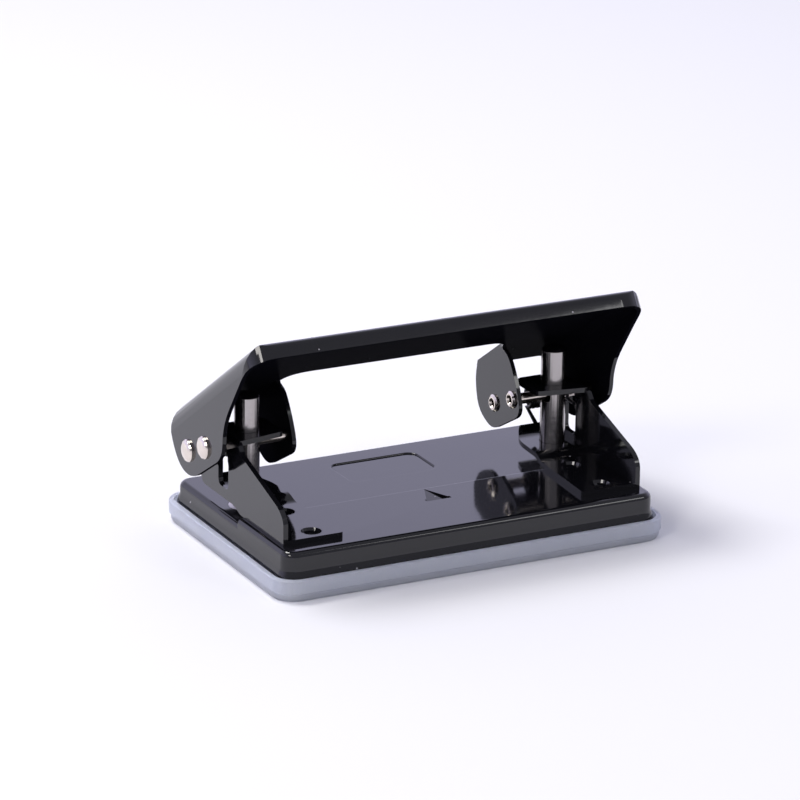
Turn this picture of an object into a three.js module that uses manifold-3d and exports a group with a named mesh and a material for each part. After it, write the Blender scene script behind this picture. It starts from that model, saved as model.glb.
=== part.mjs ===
// A two-hole desk paper punch: a pressed steel base on a snap-on chip tray, two channel brackets that
// guide a punch each, and one pressed lever handle that turns on two axles and drives both punches.
// Millimetres, +Z up, +X to the user's right. The user stands on the -Y side and lays paper in from +Y.
// The origin is the middle of the tray's resting face.
import * as THREE from 'three';
import { mergeVertices } from 'three/addons/utils/BufferGeometryUtils.js';
import Module from 'manifold-3d';

const wasm = await Module();
wasm.setup();

// ---- driving dimensions ----
const HOLE_SPACING = 80;        // between the two punched holes
const PUNCH_R = 3;              // a 6 mm hole
const STOP_TO_HOLE = 11;        // from the paper stop to the hole's middle
const SHEET = 1.2;              // the base's and brackets' sheet
const HANDLE_SHEET = 1;         // the handle's sheet

const BASE_D = 59.8;            // top face of the base, front to rear
const BASE_CORNER = 3.4;        // corner radius of that face
const BASE_FLARE = 0.9;         // how far the skirt spreads past the top face
const BASE_TOP = 11;            // height of the raised front half
const STOP_H = 1.4;             // height of the step that stops the paper
const STOP_Y = -4.2;            // where that step runs

const TRAY_WALL = 1.2;
const TRAY_FLOOR = 1.2;
const TRAY_GAP = 0.5;           // between the skirt and the tray's wall
const TRAY_RIM = 5.2;           // height of the tray's wall

const ARM_FORWARD = 8.6;         // drive axle in front of the pivot
const ARM_UP = 3.5;             // drive axle above the pivot, handle at rest
const PIVOT_Z = 21.6;
const AXLE_R = 1.3;
const AXLE_GAP = 0.12;          // running clearance round an axle
const PUNCH_GAP = 0.12;         // running clearance round a punch
const SHELF_OVER = 2.9;         // top of the bracket's upper guide above the drive axle at rest
const PUNCH_TOP = 36.6;         // top of the punch, handle at rest
const HANDLE_SWING = 40 * Math.PI / 180;

const LEG_ROOM = 1.7;           // between a punch and the ear, for the spring's upper leg
const EAR_MARGIN = 1.6;         // from the ear out to the edge of the base's top face
const CHEEK_GAP = 3.8;          // between the ear and the handle's side cheek
const SHELF_MARGIN = 4;         // from a punch in to the free end of the upper guide
const INNER_GAP = 3;            // from there in to the handle's inner cheek
const FOOT_GAP = 0.8;           // between the foot's free edge and the inner cheek

// ---- places worked out from them ----
const HOLE_X = HOLE_SPACING / 2;
const EAR_X = HOLE_X + PUNCH_R + LEG_ROOM + SHEET;                  // outer face of the ear
const CHEEK_X = EAR_X + CHEEK_GAP + HANDLE_SHEET;                   // outer face of the handle
const SHELF_INNER_X = HOLE_X - PUNCH_R - SHELF_MARGIN;
const INNER_CHEEK_X = SHELF_INNER_X - INNER_GAP - HANDLE_SHEET;     // its face towards the middle
const FOOT_INNER_X = INNER_CHEEK_X + HANDLE_SHEET + FOOT_GAP;
const BASE_W = 2 * (EAR_X + EAR_MARGIN);                            // top face, left to right
const PUNCH_Y = STOP_Y + STOP_TO_HOLE;
const PIVOT_Y = PUNCH_Y + ARM_FORWARD;
const DRIVE_Z = PIVOT_Z + ARM_UP;
const SHELF_TOP = DRIVE_Z + SHELF_OVER;
const ARM_R = Math.hypot(ARM_FORWARD, ARM_UP);
const ARM_ANGLE = Math.atan2(ARM_UP, ARM_FORWARD);
const REAR_TOP = BASE_TOP - STOP_H;
const SKIRT_W = BASE_W + 2 * BASE_FLARE;
const SKIRT_D = BASE_D + 2 * BASE_FLARE;

// ---- helpers ----
const RADIAL = 32;              // facets round a punch or a bore

/** A closed three.js geometry as a manifold solid. */
function solid(geometry) {
  const bare = geometry.index ? geometry.toNonIndexed() : geometry.clone();
  bare.deleteAttribute('normal');
  bare.deleteAttribute('uv');
  const merged = mergeVertices(bare, 1e-4);
  return new wasm.Manifold(new wasm.Mesh({
    numProp: 3,
    vertProperties: new Float32Array(merged.attributes.position.array),
    triVerts: new Uint32Array(merged.index.array),
  }));
}

/** A manifold solid as a three.js geometry. */
function geometryOf(body) {
  const mesh = body.getMesh();
  const geometry = new THREE.BufferGeometry();
  geometry.setAttribute('position', new THREE.BufferAttribute(new Float32Array(mesh.vertProperties), 3));
  geometry.setIndex(new THREE.BufferAttribute(new Uint32Array(mesh.triVerts), 1));
  geometry.computeVertexNormals();
  return geometry;
}

function union(bodies) {
  return bodies.reduce((sum, body) => sum.add(body));
}

/** A shape drawn in (x, y), raised from z0 to z1. */
function raised(shape, z0, z1, curveSegments = 10) {
  const options = { depth: z1 - z0, bevelEnabled: false, curveSegments };
  return solid(new THREE.ExtrudeGeometry(shape, options).translate(0, 0, z0));
}

/** A shape drawn in (y, z), carried from x0 to x1. */
function acrossX(shape, x0, x1, curveSegments = 8) {
  const options = { depth: x1 - x0, bevelEnabled: false, curveSegments };
  const geometry = new THREE.ExtrudeGeometry(shape, options);
  geometry.applyMatrix4(new THREE.Matrix4().set(0, 0, 1, x0, 1, 0, 0, 0, 0, 1, 0, 0, 0, 0, 0, 1));
  return solid(geometry);
}

function box(x0, x1, y0, y1, z0, z1) {
  const geometry = new THREE.BoxGeometry(x1 - x0, y1 - y0, z1 - z0);
  return solid(geometry.translate((x0 + x1) / 2, (y0 + y1) / 2, (z0 + z1) / 2));
}

function cylinderX(radius, x0, x1, y, z, facets = 24) {
  const geometry = new THREE.CylinderGeometry(radius, radius, x1 - x0, facets);
  return solid(geometry.rotateZ(Math.PI / 2).translate((x0 + x1) / 2, y, z));
}

function cylinderZ(radius, z0, z1, x, y, facets = RADIAL) {
  const geometry = new THREE.CylinderGeometry(radius, radius, z1 - z0, facets);
  return solid(geometry.rotateX(Math.PI / 2).translate(x, y, (z0 + z1) / 2));
}

/** A closed profile of [radius, height] points turned round the Z axis. */
function turned(profile, facets = RADIAL) {
  const points = profile.map(([radius, height]) => new THREE.Vector2(radius, height));
  return new THREE.LatheGeometry([...points, points[0].clone()], facets).rotateX(Math.PI / 2);
}

function roundedRectangle(width, depth, radius) {
  const x = width / 2;
  const y = depth / 2;
  const shape = new THREE.Shape();
  shape.moveTo(-x + radius, -y);
  shape.lineTo(x - radius, -y);
  shape.absarc(x - radius, -y + radius, radius, -Math.PI / 2, 0);
  shape.lineTo(x, y - radius);
  shape.absarc(x - radius, y - radius, radius, 0, Math.PI / 2);
  shape.lineTo(-x + radius, y);
  shape.absarc(-x + radius, y - radius, radius, Math.PI / 2, Math.PI);
  shape.lineTo(-x, -y + radius);
  shape.absarc(-x + radius, -y + radius, radius, Math.PI, 1.5 * Math.PI);
  return shape;
}

/** The points of a rounded rectangle at one height, anticlockwise from its right front corner. */
function ring(width, depth, radius, z) {
  const steps = 7;
  const points = [];
  [[1, -1], [1, 1], [-1, 1], [-1, -1]].forEach(([right, back], corner) => {
    for (let i = 0; i <= steps; i += 1) {
      const angle = (corner - 1 + i / steps) * Math.PI / 2;
      const x = right * (width / 2 - radius) + radius * Math.cos(angle);
      const y = back * (depth / 2 - radius) + radius * Math.sin(angle);
      points.push([x, y, z]);
    }
  });
  return points;
}

/** A closed stack of rounded rectangles: each level is [grow, z], grown from the given outline. */
function loft(width, depth, radius, levels) {
  const rings = levels.map(([grow, z]) => {
    const corner = Math.max(radius + grow, 0.5);
    return ring(width + 2 * grow, depth + 2 * grow, corner, z);
  });
  const count = rings[0].length;
  const corners = [];
  const face = (...points) => points.forEach((point) => corners.push(...point));
  rings.slice(1).forEach((upper, level) => {
    const lower = rings[level];
    for (let i = 0; i < count; i += 1) {
      const j = (i + 1) % count;
      face(lower[i], lower[j], upper[j]);
      face(lower[i], upper[j], upper[i]);
    }
  });
  const bottom = rings[0];
  const top = rings[rings.length - 1];
  const floorCentre = [0, 0, bottom[0][2]];
  const roofCentre = [0, 0, top[0][2]];
  for (let i = 0; i < count; i += 1) {
    const j = (i + 1) % count;
    face(floorCentre, bottom[j], bottom[i]);
    face(roofCentre, top[i], top[j]);
  }
  const geometry = new THREE.BufferGeometry();
  geometry.setAttribute('position', new THREE.BufferAttribute(new Float32Array(corners), 3));
  return solid(geometry);
}

/** A shape through [a, b] points, with an optional third value that rounds that corner. */
function outlineOf(points) {
  const shape = new THREE.Shape();
  const count = points.length;
  const towards = (from, to, distance) => {
    const length = Math.hypot(to[0] - from[0], to[1] - from[1]);
    const part = Math.min(distance / length, 0.5);
    return [from[0] + (to[0] - from[0]) * part, from[1] + (to[1] - from[1]) * part];
  };
  points.forEach((point, i) => {
    const before = points[(i + count - 1) % count];
    const after = points[(i + 1) % count];
    const round = point[2] ?? 0;
    const start = round ? towards(point, before, round) : point;
    if (i === 0) {
      shape.moveTo(start[0], start[1]);
    } else {
      shape.lineTo(start[0], start[1]);
    }
    if (round) {
      const end = towards(point, after, round);
      shape.quadraticCurveTo(point[0], point[1], end[0], end[1]);
    }
  });
  return shape;
}

const finishes = {
  lacquer: { color: 0x0b0b0d, roughness: 0.12, metalness: 0 },
  steel: { color: 0xb9b6b0, roughness: 0.25, metalness: 1 },
  rivet: { color: 0xc2b9ab, roughness: 0.22, metalness: 1 },
  spring: { color: 0x1c1b1b, roughness: 0.4, metalness: 1 },
  polyethylene: { color: 0xc9d3e2, roughness: 0.45, metalness: 0 },
};

const punchTool = new THREE.Group();

function place(name, geometry, finish) {
  const mesh = new THREE.Mesh(geometry, new THREE.MeshStandardMaterial(finishes[finish]));
  mesh.name = name;
  punchTool.add(mesh);
  return mesh;
}

// ---- chip tray: a soft moulded dish that snaps on under the base and catches the punched discs ----
function chipTray() {
  const wide = SKIRT_W + 2 * (TRAY_GAP + TRAY_WALL);
  const deep = SKIRT_D + 2 * (TRAY_GAP + TRAY_WALL);
  const corner = BASE_CORNER + BASE_FLARE + TRAY_GAP + TRAY_WALL;
  const outer = loft(wide, deep, corner, [[-1, 0], [-0.5, 0.6], [-0.5, 1.7], [0, 2.1], [0, TRAY_RIM - 0.3],
    [-0.3, TRAY_RIM]]);
  const inner = loft(wide, deep, corner, [[-TRAY_WALL, TRAY_FLOOR], [-TRAY_WALL, TRAY_RIM + 1]]);
  place('chip_tray', geometryOf(outer.subtract(inner)), 'polyethylene');
}

// ---- base plate: one pressed sheet whose front half stands higher, so its edge stops the paper ----
/** The outside of the pressing up to a given top height, or its inside when shrunk by the sheet. */
function pressing(top, shrink) {
  const bandFoot = REAR_TOP - 3.2;
  const edge = 1.4;
  const lower = shrink ? TRAY_FLOOR - 1 : TRAY_FLOOR;
  return loft(BASE_W, BASE_D, BASE_CORNER, [
    [BASE_FLARE - shrink, lower],
    [BASE_FLARE - shrink, 4.2],
    [0.3 - shrink, bandFoot - 0.3 - shrink],
    [-shrink, bandFoot + 0.4 - shrink],
    [-shrink, top - edge - shrink],
    [-0.13 * edge - shrink, top - 0.5 * edge - shrink],
    [-0.5 * edge - shrink, top - 0.13 * edge - shrink],
    [-edge - shrink, top - shrink],
  ]);
}

function basePlate() {
  const far = 100;
  const front = (back) => box(-far, far, -far, back, -far, far);
  const outside = pressing(REAR_TOP, 0).add(pressing(BASE_TOP, 0).intersect(front(STOP_Y)));
  const inside = pressing(REAR_TOP, SHEET).add(pressing(BASE_TOP, SHEET).intersect(front(STOP_Y - SHEET)));
  const cuts = [];
  for (const side of [-1, 1]) {
    cuts.push(cylinderZ(DIE_COLLAR_R + 0.02, 0, BASE_TOP, side * HOLE_X, PUNCH_Y));
  }
  // the lanced centre mark: a triangle pressed down towards its open front side
  const markDepth = 7.5;
  const markWidth = 6.4;
  const markSlot = 1.1;
  const markFront = STOP_Y - 0.6 - markDepth;
  const triangle = outlineOf([[-markWidth / 2, markFront], [markWidth / 2, markFront], [0, STOP_Y - 0.6]]);
  const wedge = raised(triangle, 0, 3);
  const markDip = 0.7;
  const tilt = new THREE.Matrix4().makeRotationX(Math.atan2(markDip, markDepth));
  const lean = new THREE.Matrix4().makeTranslation(0, STOP_Y, BASE_TOP).multiply(tilt)
    .multiply(new THREE.Matrix4().makeTranslation(0, -STOP_Y, 0));
  cuts.push(solid(geometryOf(wedge).applyMatrix4(lean)));
  cuts.push(box(-markWidth / 2, markWidth / 2, markFront, markFront + markSlot, BASE_TOP - 3, BASE_TOP + 1));
  // a shallow blank panel in the rear half
  const panelDip = 0.35;
  const panelBehind = 20.6;
  const panel = raised(roundedRectangle(22.4, 12.8, 2.4), REAR_TOP - panelDip, REAR_TOP + 1);
  cuts.push(panel.translate([0, STOP_Y + panelBehind, 0]));
  place('base_plate', geometryOf(outside.subtract(inside).subtract(union(cuts))), 'lacquer');
}

// ---- dies: hardened rings pressed up through the base, one under each punch ----
const DIE_COLLAR_R = PUNCH_R + 1.2;
const DIE_FLANGE_R = PUNCH_R + 2;
const DIE_FLANGE_H = 1.8;

function die(name, side) {
  const sheetUnder = REAR_TOP - SHEET;
  const geometry = turned([
    [PUNCH_R + PUNCH_GAP, REAR_TOP],
    [PUNCH_R + 0.6, sheetUnder - DIE_FLANGE_H],
    [DIE_FLANGE_R, sheetUnder - DIE_FLANGE_H],
    [DIE_FLANGE_R, sheetUnder],
    [DIE_COLLAR_R, sheetUnder],
    [DIE_COLLAR_R, REAR_TOP],
  ]);
  place(name, geometryOf(solid(geometry)).translate(side * HOLE_X, PUNCH_Y, 0), 'steel');
}

// ---- brackets: a foot on the base, an upright ear and an upper guide folded over the punch ----
const FOOT_FRONT = -BASE_D / 2 + 5;
const JOG = 1.2;                       // the foot's rear part stands this much higher
const JOG_START = STOP_Y + 2;
const JOG_END = STOP_Y + 5;
const LIP_END = PUNCH_Y + 9;
const EAR_REAR = PIVOT_Y + 4.2;
const SHELF_REAR = PUNCH_Y + PUNCH_R + 3;
const SHELF_FRONT = PUNCH_Y - PUNCH_R - 4.3;  // at the ear; its free end stands further back
const SLOT_GAP = 0.35;                 // beside the drive axle in the ear's slot
const STUD_R = 2.7;                    // the clinched studs that hold the foot down
const STUDS = [FOOT_FRONT + 3.6, FOOT_FRONT + 17.4];
const STUD_X = HOLE_X - 2.8;

/** The ear's slot: the path of the drive axle, as an arc round the pivot. */
function arcSlot(radius, x0, x1) {
  const top = ARM_ANGLE;
  const bottom = ARM_ANGLE - HANDLE_SWING;
  const over = 0.02;
  const shape = new THREE.Shape();
  const at = (r, angle) => [PIVOT_Y - r * Math.cos(angle), PIVOT_Z + r * Math.sin(angle)];
  const outer = ARM_R + radius;
  const inner = ARM_R - radius;
  shape.moveTo(...at(outer, top + over));
  shape.absarc(PIVOT_Y, PIVOT_Z, outer, Math.PI - top - over, Math.PI - bottom + over, false);
  shape.lineTo(...at(inner, bottom - over));
  shape.absarc(PIVOT_Y, PIVOT_Z, inner, Math.PI - bottom + over, Math.PI - top - over, true);
  const ends = [top, bottom].map((angle) => cylinderX(radius, x0, x1, ...at(ARM_R, angle)));
  return acrossX(shape, x0, x1, 12).add(ends[0]).add(ends[1]);
}

function bracket(name, side) {
  const across = (near, far) => (side > 0 ? [near, far] : [-far, -near]);
  // foot: its side view is one sheet that steps up behind the paper stop and curls up at the rear
  const floor = BASE_TOP;
  const lipRise = 1.6;
  const footSide = outlineOf([
    [FOOT_FRONT, floor],
    [JOG_START, floor, 1],
    [JOG_END, floor + JOG, 1],
    [LIP_END - 3, floor + JOG, 2],
    [LIP_END, floor + JOG + lipRise],
    [LIP_END - 0.5, floor + JOG + lipRise + SHEET],
    [LIP_END - 3.4, floor + JOG + SHEET, 2],
    [JOG_END - 0.4, floor + JOG + SHEET, 1],
    [JOG_START - 0.4, floor + SHEET, 1],
    [FOOT_FRONT, floor + SHEET],
  ]);
  const footPlan = outlineOf([
    [side * (FOOT_INNER_X - 0.1), FOOT_FRONT, 1],
    [side * EAR_X, FOOT_FRONT],
    [side * EAR_X, LIP_END + 4],
    [side * (FOOT_INNER_X + 5.4), LIP_END + 1, 5],
    [side * (FOOT_INNER_X + 2), LIP_END - 6, 3],
  ]);
  const foot = acrossX(footSide, ...across(FOOT_INNER_X - 1, EAR_X)).intersect(raised(footPlan, 0, 40));
  // ear: upright at the outer edge
  const earFoot = floor + JOG;
  const earSide = outlineOf([
    [FOOT_FRONT, floor],
    [JOG_START, floor, 1],
    [JOG_END, earFoot, 1],
    [EAR_REAR - 1.5, earFoot, 1.5],
    [EAR_REAR, earFoot + 3, 2],
    [EAR_REAR, PIVOT_Z + 4, 3],
    [SHELF_REAR + 1, SHELF_TOP, 2],
    [SHELF_FRONT, SHELF_TOP, 1],
    [SHELF_FRONT - 2, SHELF_TOP - 2.6, 1],
    [FOOT_FRONT + 2.4, floor + 8.2, 2],
    [FOOT_FRONT, floor + 6, 1.5],
  ]);
  const ear = acrossX(earSide, ...across(EAR_X - SHEET, EAR_X));
  // upper guide, with a slanted front edge
  const shelfPlan = outlineOf([
    [side * EAR_X, SHELF_FRONT],
    [side * EAR_X, SHELF_REAR],
    [side * SHELF_INNER_X, SHELF_REAR, 2],
    [side * SHELF_INNER_X, SHELF_FRONT + 2.4, 1],
  ]);
  const shelf = raised(shelfPlan, SHELF_TOP - SHEET, SHELF_TOP);
  // the folds: the outside of each bend is rounded
  const fold = 0.9;
  const foldBack = side * (EAR_X - fold);
  const softFold = outlineOf([
    [side * (EAR_X + 1), SHELF_TOP + 1],
    [foldBack, SHELF_TOP + 1],
    [foldBack, SHELF_TOP],
    [side * EAR_X, SHELF_TOP - fold],
    [side * (EAR_X + 1), SHELF_TOP - fold],
  ]);
  const bendCut = new THREE.ExtrudeGeometry(softFold, { depth: 120, bevelEnabled: false });
  bendCut.applyMatrix4(new THREE.Matrix4().set(1, 0, 0, 0, 0, 0, -1, 60, 0, 1, 0, 0, 0, 0, 0, 1));
  // the slot opens out below, where the sheet was pierced before it was bent
  const windowHalf = 2.7;
  const windowFoot = BASE_TOP + JOG + SHEET + 1.4;
  const windowHead = DRIVE_Z - 3;
  const window = outlineOf([
    [PUNCH_Y - windowHalf, windowFoot, 1.6],
    [PUNCH_Y + windowHalf, windowFoot, 1.6],
    [PUNCH_Y + windowHalf, windowHead, 1.6],
    [PUNCH_Y - windowHalf, windowHead, 1.6],
  ]);
  const holes = [
    cylinderZ(PUNCH_R + PUNCH_GAP, 0, 60, side * HOLE_X, PUNCH_Y),
    cylinderX(AXLE_R + AXLE_GAP, ...across(EAR_X - 3, EAR_X + 1), PIVOT_Y, PIVOT_Z),
    arcSlot(AXLE_R + SLOT_GAP, ...across(EAR_X - 3, EAR_X + 1)),
    acrossX(window, ...across(EAR_X - 3, EAR_X + 1)),
  ];
  const dimples = STUDS.map((y) => cylinderZ(STUD_R + 0.02, 0, floor + 2, side * STUD_X, y));
  const body = union([foot, ear, shelf]).subtract(union([...holes, ...dimples])).subtract(solid(bendCut));
  place(name, geometryOf(body), 'lacquer');
}

/** A clinched stud that rises through a foot and is dished on top. */
function stud(name, side, y) {
  const dish = 0.95;
  const rim = 0.3;
  const profile = [
    [0, BASE_TOP],
    [STUD_R, BASE_TOP],
    [STUD_R, BASE_TOP + SHEET],
    [STUD_R - rim, BASE_TOP + SHEET],
    [STUD_R - rim - 0.35, BASE_TOP + SHEET - 0.7 * dish],
    [STUD_R - rim - 0.9, BASE_TOP + SHEET - dish],
    [0, BASE_TOP + SHEET - dish],
  ];
  const points = profile.map(([radius, height]) => new THREE.Vector2(radius, height));
  const one = solid(new THREE.LatheGeometry(points, 28).rotateX(Math.PI / 2));
  place(name, geometryOf(one).translate(side * STUD_X, y, 0), 'lacquer');
}

// ---- punches: plain hardened pins with a cross slot for the drive axle ----
const PUNCH_BOTTOM = BASE_TOP + JOG + 0.3;

function punch(name, side) {
  const chamfer = 0.5;
  const hollow = 0.9;
  const points = [
    [0, PUNCH_BOTTOM + hollow],
    [PUNCH_R, PUNCH_BOTTOM],
    [PUNCH_R, PUNCH_TOP - chamfer],
    [PUNCH_R - chamfer, PUNCH_TOP],
    [0, PUNCH_TOP],
  ].map(([radius, height]) => new THREE.Vector2(radius, height));
  const pin = solid(new THREE.LatheGeometry(points, RADIAL).rotateX(Math.PI / 2));
  // the drive axle swings on an arc, so its slot is wider than it is high
  const wide = 0.95;
  const high = 0.16;
  const slotShape = outlineOf([
    [-AXLE_R - wide, -AXLE_R - high, 0.9],
    [AXLE_R + wide, -AXLE_R - high, 0.9],
    [AXLE_R + wide, AXLE_R + high, 0.9],
    [-AXLE_R - wide, AXLE_R + high, 0.9],
  ]);
  const slot = acrossX(slotShape, -2 * PUNCH_R, 2 * PUNCH_R).translate([0, 0, DRIVE_Z]);
  place(name, geometryOf(pin.subtract(slot)).translate(side * HOLE_X, PUNCH_Y, 0), 'steel');
}

// ---- axles: semi-tubular rivets with a low domed head outside and a rolled end inside ----
const HEAD_R = 2.7;
const HEAD_H = 1.3;
const ROLL_R = 2.1;
const ROLL_H = 0.8;

function axle(name, side, y, z) {
  const outside = CHEEK_X;
  const inside = INNER_CHEEK_X;
  const points = [
    [0, inside + 2],
    [0.75, inside + 2],
    [0.9, inside - 0.3],
    [1.3, inside - ROLL_H],
    [ROLL_R - 0.5, inside - ROLL_H + 0.05],
    [ROLL_R, inside - 0.35],
    [ROLL_R - 0.1, inside],
    [AXLE_R, inside],
    [AXLE_R, outside],
    [HEAD_R, outside],
    [HEAD_R, outside + 0.4],
    [HEAD_R - 0.25, outside + 0.75],
    [HEAD_R - 0.8, outside + 1.05],
    [HEAD_R - 1.6, outside + HEAD_H - 0.06],
    [0, outside + HEAD_H],
  ].map(([radius, height]) => new THREE.Vector2(radius, height));
  const geometry = new THREE.LatheGeometry(points, 24);
  geometry.rotateZ(-side * Math.PI / 2).translate(0, y, z);
  place(name, geometry, 'rivet');
}

// ---- return springs: torsion coils round the pivot axles, one leg on the foot, one under the drive axle ----
const WIRE_R = 0.5;
const COIL_R = 2.3;
const COIL_TURNS = 5;

class SpringPath extends THREE.Curve {
  constructor(side) {
    super();
    this.side = side;
    const start = EAR_X - SHEET - WIRE_R - 0.2;
    const pitch = 2 * WIRE_R + 0.12;
    const legUp = ARM_ANGLE - Math.asin((AXLE_R + WIRE_R + 0.1 + COIL_R) / ARM_R);
    const turns = COIL_TURNS + 0.5;
    this.coil = (t) => {
      const angle = legUp + Math.PI / 2 - t * turns * 2 * Math.PI;
      return this.point(start - t * turns * pitch, COIL_R, angle);
    };
    const first = this.coil(0);
    const last = this.coil(1);
    const direction = new THREE.Vector3(0, -Math.cos(legUp), Math.sin(legUp));
    this.upperTip = first.clone().addScaledVector(direction, ARM_R + 2.2);
    const down = new THREE.Vector3(0, -0.86, -0.51);
    this.lowerTip = last.clone().addScaledVector(down, 5.2);
    this.first = first;
    this.last = last;
  }

  point(x, radius, angle) {
    const y = PIVOT_Y - radius * Math.cos(angle);
    return new THREE.Vector3(this.side * x, y, PIVOT_Z + radius * Math.sin(angle));
  }

  getPoint(t, target = new THREE.Vector3()) {
    const leg = 0.12;
    if (t < leg) {
      return target.copy(this.upperTip).lerp(this.first, t / leg);
    }
    if (t > 1 - leg) {
      return target.copy(this.last).lerp(this.lowerTip, (t - 1 + leg) / leg);
    }
    return target.copy(this.coil((t - leg) / (1 - 2 * leg)));
  }
}

function returnSpring(name, side) {
  const wire = new THREE.Shape().absarc(0, 0, WIRE_R, 0, 2 * Math.PI);
  const options = { steps: 96, bevelEnabled: false, curveSegments: 3, extrudePath: new SpringPath(side) };
  place(name, geometryOf(solid(new THREE.ExtrudeGeometry(wire, options))), 'spring');
}

// ---- handle: one pressed sheet with a sloped top, side cheeks, a front lip and two inner cheeks ----
const SLOPE = 33.8 * Math.PI / 180;
const TOP_REAR = [-8.9, 8];             // rear top corner: in front of the pivot, above the pivot
const TOP_LENGTH = 49.2;               // along the slope, to the front lip
const LIP_DROP = 4.1;
const CUTOUT = 18.5;                   // depth of the rear opening along the slope
const CUTOUT_ROUND = 6;

/** From handle-side values (in front of the pivot, above the pivot) to (y, z). */
function aside([forward, up, round]) {
  return [PIVOT_Y - forward, PIVOT_Z + up, round];
}

/** A point that far along the sloped top, and that far under its outer face. */
function alongTop(length, depth, round) {
  const forward = TOP_REAR[0] + length * Math.cos(SLOPE) + depth * Math.sin(SLOPE);
  const up = TOP_REAR[1] + length * Math.sin(SLOPE) - depth * Math.cos(SLOPE);
  return [forward, up, round];
}

/** A shape in (x across, along the slope) carried through the top's thickness direction. */
function throughTop(shape, above, below) {
  const depth = above + below;
  const geometry = new THREE.ExtrudeGeometry(shape, { depth, bevelEnabled: false, curveSegments: 8 });
  geometry.translate(0, 0, -below);
  const run = [-Math.cos(SLOPE), Math.sin(SLOPE)];
  const rise = [Math.sin(SLOPE), Math.cos(SLOPE)];
  const origin = aside(TOP_REAR);
  geometry.applyMatrix4(new THREE.Matrix4().set(
    -1, 0, 0, 0,
    0, run[0], rise[0], origin[0],
    0, run[1], rise[1], origin[1],
    0, 0, 0, 1,
  ));
  return solid(geometry);
}

/** A cross-section in (x, depth under the top face) carried along the slope. */
function alongSlope(shape, from, to) {
  const geometry = new THREE.ExtrudeGeometry(shape, { depth: to - from, bevelEnabled: false, curveSegments: 6 });
  geometry.translate(0, 0, from);
  const origin = aside(TOP_REAR);
  geometry.applyMatrix4(new THREE.Matrix4().set(
    1, 0, 0, 0,
    0, Math.sin(SLOPE), -Math.cos(SLOPE), origin[0],
    0, Math.cos(SLOPE), Math.sin(SLOPE), origin[1],
    0, 0, 0, 1,
  ));
  return solid(geometry);
}

/** The handle's outer bulk, or the space inside it when shrunk by the sheet. */
function handleBulk(shrink) {
  const over = shrink ? 20 : 0;
  const sideView = outlineOf([
    aside(alongTop(-over, shrink)),
    aside(alongTop(TOP_LENGTH - shrink, shrink, Math.max(3 - shrink, 1))),
    aside(alongTop(TOP_LENGTH - shrink, LIP_DROP + over)),
    ...(shrink ? [] : [
      aside(alongTop(TOP_LENGTH - 6, LIP_DROP + 0.8, 5)),
      aside([18.5, 12, 6]),
      aside([18.3, 3.9, 4]),
      aside([1.8, -6.3, 4]),
      aside([-5.2, -5.4, 4]),
      aside([-10, 1, 4]),
      aside([-9.8, 4.6, 2]),
    ]),
    ...(shrink ? [aside([-30, -30])] : []),
  ]);
  const halfWide = CHEEK_X - shrink;
  const edge = 5 - shrink;
  const section = outlineOf([
    [-halfWide, -60],
    [halfWide, -60],
    [halfWide, -shrink, edge],
    [-halfWide, -shrink, edge],
  ]);
  const corner = 7.5 - shrink;
  const plan = outlineOf([
    [-halfWide, -40],
    [halfWide, -40],
    [halfWide, TOP_LENGTH - shrink, corner],
    [-halfWide, TOP_LENGTH - shrink, corner],
  ]);
  const mirrored = throughTop(plan, 20, 70);
  return acrossX(sideView, -halfWide, halfWide).intersect(alongSlope(section, -40, 80)).intersect(mirrored);
}

function handle() {
  const shell = handleBulk(0).subtract(handleBulk(HANDLE_SHEET));
  // the lip ends level between the side cheeks
  const underLip = outlineOf([
    aside(alongTop(TOP_LENGTH + 5, LIP_DROP)),
    aside(alongTop(TOP_LENGTH - 3, LIP_DROP)),
    aside(alongTop(TOP_LENGTH - 3, LIP_DROP + 20)),
    aside(alongTop(TOP_LENGTH + 5, LIP_DROP + 20)),
  ]);
  const lipCut = acrossX(underLip, -CHEEK_X + HANDLE_SHEET + 2.5, CHEEK_X - HANDLE_SHEET - 2.5);
  const opening = INNER_CHEEK_X;
  const gap = outlineOf([
    [-opening, -12],
    [opening, -12],
    [opening, CUTOUT, CUTOUT_ROUND],
    [-opening, CUTOUT, CUTOUT_ROUND],
  ]);
  const rearCut = throughTop(gap, 20, HANDLE_SHEET + 3);
  const cheekView = outlineOf([
    aside(alongTop(0.5, 0.4)),
    aside([-9.4, 6.4, 2]),
    aside([-9.8, 2, 4]),
    aside([-8, -4.2, 4]),
    aside([-1, -7, 3]),
    aside([12.6, 0.6, 3]),
    aside([11.2, 6, 4]),
    aside([6.6, 13.4, 3]),
    aside(alongTop(CUTOUT - CUTOUT_ROUND + 1.5, HANDLE_SHEET + 0.6)),
    aside(alongTop(CUTOUT - CUTOUT_ROUND + 1.5, 0.4)),
  ]);
  const innerCheeks = [-1, 1].map((side) => {
    const near = side > 0 ? INNER_CHEEK_X : -INNER_CHEEK_X - HANDLE_SHEET;
    return acrossX(cheekView, near, near + HANDLE_SHEET);
  });
  const bores = [];
  for (const [y, z] of [[PIVOT_Y, PIVOT_Z], [PUNCH_Y, DRIVE_Z]]) {
    bores.push(cylinderX(AXLE_R + 0.02, -CHEEK_X - 1, CHEEK_X + 1, y, z));
  }
  const body = union([shell.subtract(lipCut).subtract(rearCut), ...innerCheeks]).subtract(union(bores));
  place('handle', geometryOf(body), 'lacquer');
}

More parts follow.
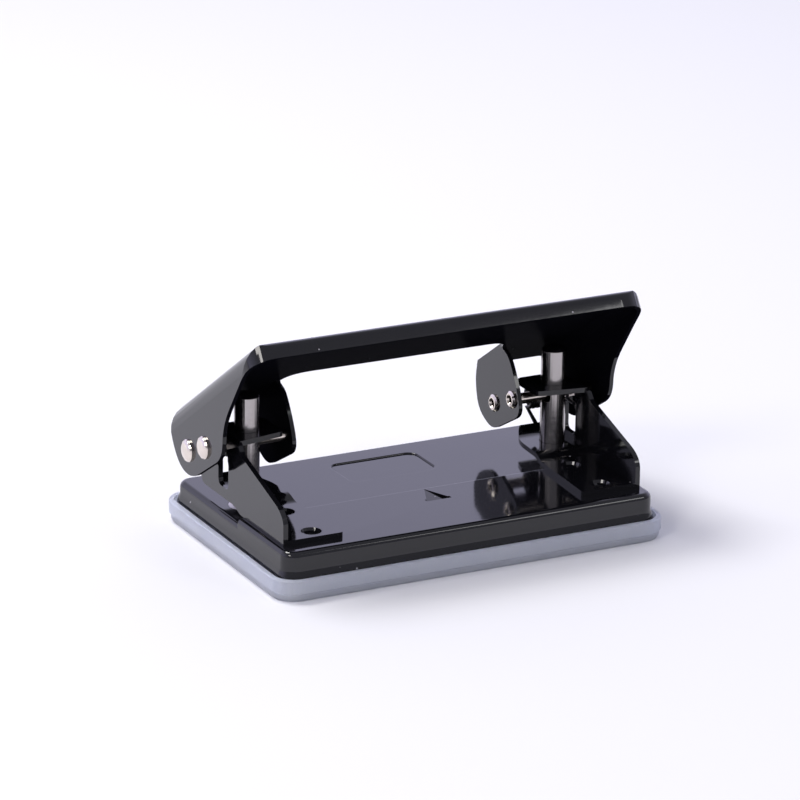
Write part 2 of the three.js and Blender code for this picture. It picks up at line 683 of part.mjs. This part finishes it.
chipTray();
basePlate();
handle();
for (const [word, side] of [['left', -1], ['right', 1]]) {
  bracket(`${word}_bracket`, side);
  stud(`${word}_front_stud`, side, STUDS[0]);
  stud(`${word}_rear_stud`, side, STUDS[1]);
  die(`${word}_die`, side);
  punch(`${word}_punch`, side);
  axle(`${word}_pivot_axle`, side, PIVOT_Y, PIVOT_Z);
  axle(`${word}_drive_axle`, side, PUNCH_Y, DRIVE_Z);
  returnSpring(`${word}_return_spring`, side);
}

export default punchTool;
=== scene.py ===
# %% [markdown]
# # A two-hole paper punch, finished in Blender
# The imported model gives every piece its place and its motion. This lesson gives the pieces their looks:
# glossy stove lacquer on pressed sheet, bright ground steel, plated rivets and a frosted soft tray.
# All sizes are in metres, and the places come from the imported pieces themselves.

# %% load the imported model
import math
import bmesh
import bpy
from mathutils import Matrix, Vector


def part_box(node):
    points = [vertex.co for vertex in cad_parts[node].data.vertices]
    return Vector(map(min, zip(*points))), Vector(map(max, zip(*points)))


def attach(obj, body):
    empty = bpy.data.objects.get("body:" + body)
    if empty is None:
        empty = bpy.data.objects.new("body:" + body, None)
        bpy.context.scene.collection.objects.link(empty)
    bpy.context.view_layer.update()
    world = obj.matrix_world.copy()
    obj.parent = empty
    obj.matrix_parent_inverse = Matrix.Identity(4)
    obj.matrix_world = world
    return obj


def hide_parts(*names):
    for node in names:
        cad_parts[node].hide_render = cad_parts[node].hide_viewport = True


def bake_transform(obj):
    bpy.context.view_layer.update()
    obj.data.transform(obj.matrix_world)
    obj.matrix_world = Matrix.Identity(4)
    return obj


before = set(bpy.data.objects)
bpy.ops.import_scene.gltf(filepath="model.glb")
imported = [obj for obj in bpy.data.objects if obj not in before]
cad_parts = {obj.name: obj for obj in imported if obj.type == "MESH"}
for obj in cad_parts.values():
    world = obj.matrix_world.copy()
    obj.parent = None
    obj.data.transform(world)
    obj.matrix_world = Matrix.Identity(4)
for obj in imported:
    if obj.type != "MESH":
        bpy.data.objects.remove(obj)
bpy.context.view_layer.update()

MM = 0.001
SIDES = {"left": -1, "right": 1}

# %% [markdown]
# ## Shader node groups
# A material reads well when its surface is never perfectly even. Two small groups are shared by the
# finishes: `fine_relief` gives a soft, slightly wavy height, and `specks` gives a mask of sparse dust.
# Each is built once, with named inputs, and every finish places it with its own values.

# %% a helper for node groups
def make_group(name, inputs, outputs):
    tree = bpy.data.node_groups.new(name, "ShaderNodeTree")
    for label, default in inputs:
        socket = tree.interface.new_socket(label, in_out="INPUT", socket_type="NodeSocketFloat")
        socket.default_value = default
    for label in outputs:
        tree.interface.new_socket(label, in_out="OUTPUT", socket_type="NodeSocketFloat")
    tree.nodes.new("NodeGroupInput").name = "in"
    tree.nodes.new("NodeGroupOutput").name = "out"
    return tree


def link(tree, source, target):
    tree.links.new(source, target)


# %% fine relief: broad waves plus a finer ripple, read in object space
def fine_relief_group():
    tree = make_group("fine_relief", [("Wave Scale", 60.0), ("Ripple Scale", 900.0), ("Ripple Share", 0.3)],
                      ["Height"])
    start, end = tree.nodes["in"], tree.nodes["out"]
    place = tree.nodes.new("ShaderNodeTexCoord")
    wave = tree.nodes.new("ShaderNodeTexNoise")
    wave.inputs["Detail"].default_value = 1.0
    ripple = tree.nodes.new("ShaderNodeTexNoise")
    ripple.inputs["Detail"].default_value = 2.0
    mix = tree.nodes.new("ShaderNodeMix")
    for noise, label in ((wave, "Wave Scale"), (ripple, "Ripple Scale")):
        link(tree, place.outputs["Object"], noise.inputs["Vector"])
        link(tree, start.outputs[label], noise.inputs["Scale"])
    link(tree, start.outputs["Ripple Share"], mix.inputs[0])
    link(tree, wave.outputs["Fac"], mix.inputs[2])
    link(tree, ripple.outputs["Fac"], mix.inputs[3])
    link(tree, mix.outputs[0], end.inputs["Height"])
    return tree


# %% specks: the bright cores of a scattered cell pattern
def specks_group():
    tree = make_group("specks", [("Scale", 260.0), ("Size", 0.06), ("Share", 0.25)], ["Mask"])
    start, end = tree.nodes["in"], tree.nodes["out"]
    place = tree.nodes.new("ShaderNodeTexCoord")
    cells = tree.nodes.new("ShaderNodeTexVoronoi")
    near = tree.nodes.new("ShaderNodeMath")
    near.operation = "LESS_THAN"
    chosen = tree.nodes.new("ShaderNodeMath")
    chosen.operation = "LESS_THAN"
    split = tree.nodes.new("ShaderNodeSeparateColor")
    both = tree.nodes.new("ShaderNodeMath")
    both.operation = "MULTIPLY"
    link(tree, place.outputs["Object"], cells.inputs["Vector"])
    link(tree, start.outputs["Scale"], cells.inputs["Scale"])
    link(tree, cells.outputs["Distance"], near.inputs[0])
    link(tree, start.outputs["Size"], near.inputs[1])
    link(tree, cells.outputs["Color"], split.inputs["Color"])
    link(tree, split.outputs[0], chosen.inputs[0])
    link(tree, start.outputs["Share"], chosen.inputs[1])
    link(tree, near.outputs[0], both.inputs[0])
    link(tree, chosen.outputs[0], both.inputs[1])
    link(tree, both.outputs[0], end.inputs["Mask"])
    return tree


FINE_RELIEF = fine_relief_group()
SPECKS = specks_group()
print("node groups:", FINE_RELIEF.name, SPECKS.name)

# %% [markdown]
# ## Finishes
# Stove lacquer is a black body under a smooth clear skin, so nearly all that is seen is what it mirrors.
# Its roughness stays very low, a faint wave bends the reflections as real lacquer does, and a few dust
# grains catch the light. Steel is a true metal with fine turning marks. The tray is soft translucent
# plastic: it scatters light inside, and its thin rim lets some through.

# %% a helper that starts a finish
def start_finish(name):
    material = bpy.data.materials.new(name)
    material.use_nodes = True
    tree = material.node_tree
    return material, tree, tree.nodes["Principled BSDF"]


def add_group(tree, group, **values):
    node = tree.nodes.new("ShaderNodeGroup")
    node.node_tree = group
    for label, value in values.items():
        node.inputs[label.replace("_", " ")].default_value = value
    return node


# A mix node carries one pair of sockets for each kind of data. These are the ones for colours.
COLOUR_A, COLOUR_B, COLOUR_RESULT = 6, 7, 2


def mix_colours(tree, mask, first, second):
    mix = tree.nodes.new("ShaderNodeMix")
    mix.data_type = "RGBA"
    mix.inputs[COLOUR_A].default_value = (*first, 1)
    mix.inputs[COLOUR_B].default_value = (*second, 1)
    link(tree, mask, mix.inputs["Factor"])
    return mix.outputs[COLOUR_RESULT]


def map_range(tree, value, low, high, source_low=0.0, source_high=1.0):
    node = tree.nodes.new("ShaderNodeMapRange")
    node.inputs["From Min"].default_value = source_low
    node.inputs["From Max"].default_value = source_high
    node.inputs["To Min"].default_value = low
    node.inputs["To Max"].default_value = high
    link(tree, value, node.inputs["Value"])
    return node.outputs["Result"]


def add_bump(tree, height, distance, strength=1.0):
    bump = tree.nodes.new("ShaderNodeBump")
    bump.inputs["Distance"].default_value = distance
    bump.inputs["Strength"].default_value = strength
    link(tree, height, bump.inputs["Height"])
    return bump.outputs["Normal"]


# %% black stove lacquer
def black_lacquer():
    material, tree, shader = start_finish("black_lacquer")
    relief = add_group(tree, FINE_RELIEF, Wave_Scale=55.0, Ripple_Scale=700.0, Ripple_Share=0.12)
    dust = add_group(tree, SPECKS, Scale=230.0, Size=0.05, Share=0.16)
    link(tree, mix_colours(tree, dust.outputs["Mask"], (0.006, 0.006, 0.008), (0.35, 0.34, 0.36)),
         shader.inputs["Base Color"])
    link(tree, map_range(tree, relief.outputs["Height"], 0.045, 0.10), shader.inputs["Roughness"])
    link(tree, add_bump(tree, relief.outputs["Height"], 0.00006, 0.5), shader.inputs["Normal"])
    shader.inputs["IOR"].default_value = 1.52
    return material


# %% painted shade for the inside of the handle: a dull copy of the lacquer that hardly reflects, so these faces read dark
def painted_shade_lacquer():
    material, tree, shader = start_finish("painted_shade_lacquer")
    relief = add_group(tree, FINE_RELIEF, Wave_Scale=70.0, Ripple_Scale=900.0, Ripple_Share=0.3)
    dust = add_group(tree, SPECKS, Scale=420.0, Size=0.05, Share=0.2)
    link(tree, mix_colours(tree, dust.outputs["Mask"], (0.004, 0.004, 0.006), (0.12, 0.12, 0.14)),
         shader.inputs["Base Color"])
    link(tree, map_range(tree, relief.outputs["Height"], 0.16, 0.32), shader.inputs["Roughness"])
    link(tree, add_bump(tree, relief.outputs["Height"], 0.0001, 0.5), shader.inputs["Normal"])
    shader.inputs["IOR"].default_value = 1.5
    # Next to no reflection: the darkness of the faces in shade is painted into this copy.
    shader.inputs["Specular IOR Level"].default_value = 0.0002
    return material


# %% [markdown]
# ## Bright steel
# The punches are ground bar, the rivets are turned and plated, and the spring wire is drawn and
# blackened. All three are bare metal, so one recipe serves: a metal colour, and fine marks left by the
# wheel, the lathe or the die. Stretching the noise along one axis turns specks into such marks, and the
# same marks drive colour, roughness and relief, so a scratch looks worn and not painted on.

# %% bright ground steel, with marks that run round or along the piece
def ground_steel(name, colour, roughness, stretch):
    material, tree, shader = start_finish(name)
    place = tree.nodes.new("ShaderNodeTexCoord")
    turn = tree.nodes.new("ShaderNodeMapping")
    turn.inputs["Scale"].default_value = stretch
    marks = tree.nodes.new("ShaderNodeTexNoise")
    marks.inputs["Scale"].default_value = 400.0
    marks.inputs["Detail"].default_value = 4.0
    link(tree, place.outputs["Object"], turn.inputs["Vector"])
    link(tree, turn.outputs["Vector"], marks.inputs["Vector"])
    darker = tuple(0.72 * channel for channel in colour)
    link(tree, mix_colours(tree, marks.outputs["Fac"], darker, colour), shader.inputs["Base Color"])
    link(tree, map_range(tree, marks.outputs["Fac"], roughness * 0.7, roughness * 1.5),
         shader.inputs["Roughness"])
    link(tree, add_bump(tree, marks.outputs["Fac"], 0.00001, 0.4), shader.inputs["Normal"])
    shader.inputs["Metallic"].default_value = 1.0
    return material


# %% [markdown]
# ## Tray plastic
# The chip tray is moulded from soft translucent plastic, so that it can be peeled off the base. Part of
# the light passes through it and part is scattered near the surface. Mixing transmission with a pale
# body colour gives that milky look, and the mould's fine grain goes into the roughness and the relief.

# %% frosted soft plastic
def frosted_polyethylene():
    material, tree, shader = start_finish("frosted_polyethylene")
    relief = add_group(tree, FINE_RELIEF, Wave_Scale=180.0, Ripple_Scale=2500.0, Ripple_Share=0.55)
    link(tree, mix_colours(tree, relief.outputs["Height"], (0.74, 0.79, 0.93), (0.92, 0.94, 0.99)),
         shader.inputs["Base Color"])
    link(tree, map_range(tree, relief.outputs["Height"], 0.31, 0.46), shader.inputs["Roughness"])
    link(tree, add_bump(tree, relief.outputs["Height"], 0.00001, 0.5), shader.inputs["Normal"])
    shader.inputs["Transmission Weight"].default_value = 0.62
    shader.inputs["IOR"].default_value = 1.5
    return material


LACQUER = black_lacquer()
SHADED_LACQUER = painted_shade_lacquer()
PUNCH_STEEL = ground_steel("ground_punch_steel", (0.50, 0.47, 0.46), 0.2, (1, 1, 8))
RIVET_STEEL = ground_steel("plated_rivet", (0.86, 0.78, 0.70), 0.16, (1, 1, 1))
SPRING_STEEL = ground_steel("blackened_spring_wire", (0.05, 0.05, 0.055), 0.35, (6, 1, 1))
TRAY_PLASTIC = frosted_polyethylene()
FINISHES = (LACQUER, SHADED_LACQUER, PUNCH_STEEL, RIVET_STEEL, SPRING_STEEL, TRAY_PLASTIC)
print("finishes:", [finish.name for finish in FINISHES])

# %% [markdown]
# ## Pressed sheet pieces
# The base, the brackets and the handle are cut and bent from sheet steel. What makes sheet look like
# sheet is its edge: the press rolls it over a little, and lacquer pools there into a thin bright line.
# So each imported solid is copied, its loose triangles are merged into whole faces, and a narrow bevel
# rounds every real edge.

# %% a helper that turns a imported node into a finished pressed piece
SAME_PLACE = 0.002 * MM             # vertices closer than this are one vertex
FLAT_ANGLE = math.radians(0.6)      # faces that turn less than this are one face
EDGE_ANGLE = math.radians(32)       # a fold sharper than this is a real edge
EDGE_STEPS = 3                      # faces across a rolled edge


def pressed_piece(name, node, body, radius, finish=LACQUER, is_inner=None,
                  soft_edge=None, soft_radius=0.0):
    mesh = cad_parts[node].data.copy()
    mesh.name = name
    bm = bmesh.new()
    bm.from_mesh(mesh)
    bmesh.ops.remove_doubles(bm, verts=bm.verts, dist=SAME_PLACE)
    bmesh.ops.dissolve_limit(bm, angle_limit=FLAT_ANGLE, verts=bm.verts, edges=bm.edges, delimit=set())
    if soft_edge:
        chosen = [edge for edge in bm.edges if soft_edge(*(vert.co for vert in edge.verts))]
        print(name, "soft edges:", len(chosen))
        bmesh.ops.bevel(bm, geom=chosen, offset=soft_radius, segments=EDGE_STEPS, profile=0.5,
                        affect="EDGES")
    bm.to_mesh(mesh)
    bm.free()
    mesh.materials.clear()
    mesh.materials.append(finish)
    # Faces in shade inside the handle take the painted-shade copy of the lacquer.
    if is_inner:
        mesh.materials.append(SHADED_LACQUER)
        for face in mesh.polygons:
            if is_inner(face):
                face.material_index = 1
    piece = bpy.data.objects.new(name, mesh)
    bpy.context.scene.collection.objects.link(piece)
    mesh.shade_smooth()
    mesh.set_sharp_from_angle(angle=EDGE_ANGLE)
    bevel = piece.modifiers.new("rolled_edge", "BEVEL")
    bevel.width = radius
    bevel.segments = EDGE_STEPS
    bevel.limit_method = "ANGLE"
    bevel.angle_limit = EDGE_ANGLE
    even = piece.modifiers.new("even_faces", "WEIGHTED_NORMAL")
    even.keep_sharp = True
    even.weight = 100
    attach(piece, body)
    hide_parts(node)
    print(name, "faces:", len(mesh.polygons))
    return piece


# %% the pressed pieces
OUTER_CHEEK = 48 * MM               # beyond this, a sideways face belongs to an outer cheek
INNER_CHEEK = 32 * MM               # within this, it belongs to an inner cheek


def inside_handle(face):
    """The faces in shade, which take the painted-shade copy of the lacquer: under the top, and between each
    pair of cheeks.
    """
    across, normal = face.center.x, face.normal
    if normal.z < -0.5 and normal.y < -0.3:
        return True
    outer_cheek = abs(across) > OUTER_CHEEK and normal.x * across < 0 and abs(normal.x) > 0.5
    inner_cheek = abs(across) < INNER_CHEEK and normal.x * across > 0 and abs(normal.x) > 0.5
    return outer_cheek or inner_cheek


STOP_PLACE = -4.2 * MM
PANEL_PLACE = 16.4 * MM
PANEL_HALF = (11.5 * MM, 6.6 * MM)  # half the panel's size, and a little over
REAR_TOP = 9.5 * MM                 # just under the rear half's top face
NEAR = 0.1 * MM
base_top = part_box("base_plate")[1][2]


def is_paper_stop(co):
    """On the long upper edge of the step that the paper is pushed against."""
    return abs(co.y - STOP_PLACE) < NEAR and co.z > base_top - NEAR


def is_panel_rim(co):
    """On the upper rim of the blank recessed panel behind the step."""
    return abs(co.x) < PANEL_HALF[0] and abs(co.y - PANEL_PLACE) < PANEL_HALF[1] and co.z > REAR_TOP


def is_soft(first, second):
    return any(test(first) and test(second) for test in (is_paper_stop, is_panel_rim))


pressed_piece("pressed_base", "base_plate", "frame", 0.15 * MM, soft_edge=is_soft,
              soft_radius=0.35 * MM)
# The handle's faces in shade take the painted-shade lacquer.
pressed_piece("pressed_handle", "handle", "lever", 0.2 * MM, is_inner=inside_handle)
for word in SIDES:
    pressed_piece(f"{word}_pressed_bracket", f"{word}_bracket", "frame", 0.3 * MM)

# %% [markdown]
# ## Turned, ground and moulded pieces
# Punches, dies, rivets and clinched studs are already round and true as they were packed, so they keep
# their own meshes and only take a finish. The dies are cut from the same hard steel as the punches. The
# studs are pushed up out of the feet before the lacquer goes on, so they are black like the sheet. The
# rivet heads stay bright, because they are closed last, over the lacquer. The tray is a plain moulding
# with one even wall.

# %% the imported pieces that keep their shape
for word in SIDES:
    for node, finish in (("punch", PUNCH_STEEL), ("die", PUNCH_STEEL),
                         ("pivot_axle", RIVET_STEEL), ("drive_axle", RIVET_STEEL),
                         ("front_stud", LACQUER), ("rear_stud", LACQUER)):
        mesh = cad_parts[f"{word}_{node}"].data
        mesh.materials.clear()
        mesh.materials.append(finish)
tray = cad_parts["chip_tray"].data
tray.materials.clear()
tray.materials.append(TRAY_PLASTIC)

# %% [markdown]
# ## Return springs
# A torsion spring is one wire: a straight leg, a few close turns round the axle, and a second leg. The
# path is plain geometry, so it is worked out point by point: the coil starts beside the ear and runs
# inwards, the upper leg leaves it under the drive axle and the lower leg drops towards the foot.
# A node tree then sweeps a round wire along that path, so the wire's thickness stays one named input.
# As the handle comes down, the outer end turns with the lever and the inner end stays, which winds it.

# %% the spring's path, in millimetres
PIVOT = (15.4, 21.6)                # the hinge line: from front to rear, and height
ARM = (8.6, 3.5)                    # from the hinge to the drive axle: forward, and up
AXLE_RADIUS = 1.3
WIRE_RADIUS = 0.5
WIRE_GAP = 0.1                      # between the wire and the drive axle
COIL_RADIUS = 2.3
COIL_TURNS = 5.5
COIL_START = 44.0                   # the coil's outer end, from the middle of the punch
COIL_PITCH = 2 * WIRE_RADIUS + 0.12
COIL_STEPS = 200
UPPER_LEG_PAST_ARM = 2.2            # how far the upper leg runs past the drive axle
LOWER_LEG = 5.2
LOWER_LEG_AIM = Vector((0, -0.86, -0.51))
WIRE_SIDES = 12


def spring_path(side):
    reach = math.hypot(*ARM)
    offset = AXLE_RADIUS + WIRE_RADIUS + WIRE_GAP + COIL_RADIUS
    lean = math.atan2(ARM[1], ARM[0]) - math.asin(offset / reach)

    def on_coil(share):
        angle = lean + math.pi / 2 - share * COIL_TURNS * 2 * math.pi
        return Vector((side * (COIL_START - share * COIL_TURNS * COIL_PITCH),
                       PIVOT[0] - COIL_RADIUS * math.cos(angle), PIVOT[1] + COIL_RADIUS * math.sin(angle)))

    coil = [on_coil(step / COIL_STEPS) for step in range(COIL_STEPS + 1)]
    upper = coil[0] + Vector((0, -math.cos(lean), math.sin(lean))) * (reach + UPPER_LEG_PAST_ARM)
    lower = coil[-1] + LOWER_LEG_AIM * LOWER_LEG
    return [point * MM for point in [upper, *coil, lower]]


# %% the wire, swept by a node tree
def wire_tree():
    tree = bpy.data.node_groups.new("sweep_wire", "GeometryNodeTree")
    tree.interface.new_socket("Geometry", in_out="INPUT", socket_type="NodeSocketGeometry")
    for label, kind in (("Wire Radius", "NodeSocketFloat"), ("Sides", "NodeSocketInt"),
                        ("Finish", "NodeSocketMaterial")):
        tree.interface.new_socket(label, in_out="INPUT", socket_type=kind)
    tree.interface.new_socket("Geometry", in_out="OUTPUT", socket_type="NodeSocketGeometry")
    start = tree.nodes.new("NodeGroupInput")
    end = tree.nodes.new("NodeGroupOutput")
    path = tree.nodes.new("GeometryNodeMeshToCurve")
    section = tree.nodes.new("GeometryNodeCurvePrimitiveCircle")
    sweep = tree.nodes.new("GeometryNodeCurveToMesh")
    sweep.inputs["Fill Caps"].default_value = True
    smooth = tree.nodes.new("GeometryNodeSetShadeSmooth")
    real = tree.nodes.new("GeometryNodeRealizeInstances")
    finish = tree.nodes.new("GeometryNodeSetMaterial")
    link(tree, start.outputs["Geometry"], path.inputs["Mesh"])
    link(tree, start.outputs["Wire Radius"], section.inputs["Radius"])
    link(tree, start.outputs["Sides"], section.inputs["Resolution"])
    link(tree, path.outputs["Curve"], sweep.inputs["Curve"])
    link(tree, section.outputs["Curve"], sweep.inputs["Profile Curve"])
    link(tree, sweep.outputs["Mesh"], smooth.inputs["Geometry"])
    link(tree, smooth.outputs["Geometry"], real.inputs["Geometry"])
    link(tree, real.outputs["Geometry"], finish.inputs["Geometry"])
    link(tree, start.outputs["Finish"], finish.inputs["Material"])
    link(tree, finish.outputs["Geometry"], end.inputs["Geometry"])
    return tree


WIRE_TREE = wire_tree()


def swept(name, points, radius, sides, finish):
    rail = bpy.data.meshes.new(name + "_rail")
    rail.from_pydata(points, [(i, i + 1) for i in range(len(points) - 1)], [])
    carrier = bpy.data.objects.new(name + "_rail", rail)
    bpy.context.scene.collection.objects.link(carrier)
    nodes = carrier.modifiers.new("sweep", "NODES")
    nodes.node_group = WIRE_TREE
    values = {"Wire Radius": radius, "Sides": sides, "Finish": finish}
    for item in WIRE_TREE.interface.items_tree:
        if item.in_out == "INPUT" and item.name in values:
            nodes[item.identifier] = values[item.name]
    evaluated = carrier.evaluated_get(bpy.context.evaluated_depsgraph_get())
    mesh = bpy.data.meshes.new_from_object(evaluated)
    mesh.name = name
    bpy.data.objects.remove(carrier)
    piece = bpy.data.objects.new(name, mesh)
    bpy.context.scene.collection.objects.link(piece)
    print(name, "faces:", len(mesh.polygons), "finish:", [m.name for m in mesh.materials])
    return piece


# %% two springs, mirror images of each other
for word, side in SIDES.items():
    points = spring_path(side)
    spring = swept(f"{word}_wound_spring", points, WIRE_RADIUS * MM, WIRE_SIDES, SPRING_STEEL)
    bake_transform(spring)
    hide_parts(f"{word}_return_spring")

# %% [markdown]
# ## The studio
# A pale floor, a pale surround that is brighter behind, and soft lights: black lacquer shows only what it
# mirrors, so it needs something wide and bright, and few small bright spots.

# %% floor
def pale_floor():
    bpy.ops.mesh.primitive_plane_add(size=12, location=(0, 0, 0))
    floor = bpy.context.object
    floor.name = "floor"
    material, tree, shader = start_finish("pale_floor")
    shader.inputs["Base Color"].default_value = (0.87, 0.87, 0.89, 1)
    shader.inputs["Roughness"].default_value = 0.9
    floor.data.materials.append(material)


pale_floor()

# %% surround: bright near the horizon behind the object, quieter overhead and on the near side
def studio_surround():
    world = bpy.data.worlds.new("studio")
    bpy.context.scene.world = world
    world.use_nodes = True
    tree = world.node_tree
    place = tree.nodes.new("ShaderNodeTexCoord")
    parts = tree.nodes.new("ShaderNodeSeparateXYZ")
    link(tree, place.outputs["Generated"], parts.inputs[0])
    height = map_range(tree, parts.outputs["Z"], 1.0, 0.0, 0.42, 0.78)
    behind = map_range(tree, parts.outputs["Y"], 0.0, 1.0, -0.35, 0.25)
    both = tree.nodes.new("ShaderNodeMath")
    both.operation = "MULTIPLY"
    link(tree, height, both.inputs[0])
    link(tree, behind, both.inputs[1])
    colour = mix_colours(tree, both.outputs[0], (0.40, 0.40, 0.46), (1.02, 1.00, 1.34))
    backdrop = tree.nodes["Background"]
    link(tree, colour, backdrop.inputs["Color"])
    backdrop.inputs["Strength"].default_value = 1.0


studio_surround()


# %% lights
def soft_light(name, place, aim, size, power, colour=(1, 1, 1)):
    data = bpy.data.lights.new(name, "AREA")
    data.shape = "RECTANGLE"
    data.size, data.size_y = size
    data.energy = power
    data.color = colour
    light = bpy.data.objects.new(name, data)
    bpy.context.scene.collection.objects.link(light)
    light.location = place
    light.rotation_euler = (Vector(aim) - Vector(place)).to_track_quat("-Z", "Y").to_euler()


soft_light("overhead", (-0.3, 0.42, 1.0), (0, 0, 0), (0.5, 0.35), 7.6, (1.0, 0.99, 0.97))
soft_light("front_left", (-0.9, -0.5, 0.75), (0, 0, 0.02), (0.3, 0.3), 3.0, (1.0, 0.96, 0.93))
soft_light("front_right", (0.7, -0.9, 0.8), (0, 0, 0.02), (0.3, 0.3), 1.2)

bpy.context.scene.view_settings.view_transform = "Standard"

# %% camera
camera_data = bpy.data.cameras.new("camera")
camera_data.lens = 217.5
camera_data.sensor_width = 36
camera = bpy.data.objects.new("camera", camera_data)
bpy.context.scene.collection.objects.link(camera)
bpy.context.scene.camera = camera
eye = Vector((-0.4870, -0.9366, 0.3953))
look = Vector((0.4332, 0.8403, -0.3260))
camera.location = eye
roll = Matrix.Rotation(math.radians(0.784), 4, "Z")
camera.rotation_euler = (look.to_track_quat("-Z", "Y").to_matrix().to_4x4() @ roll).to_euler()
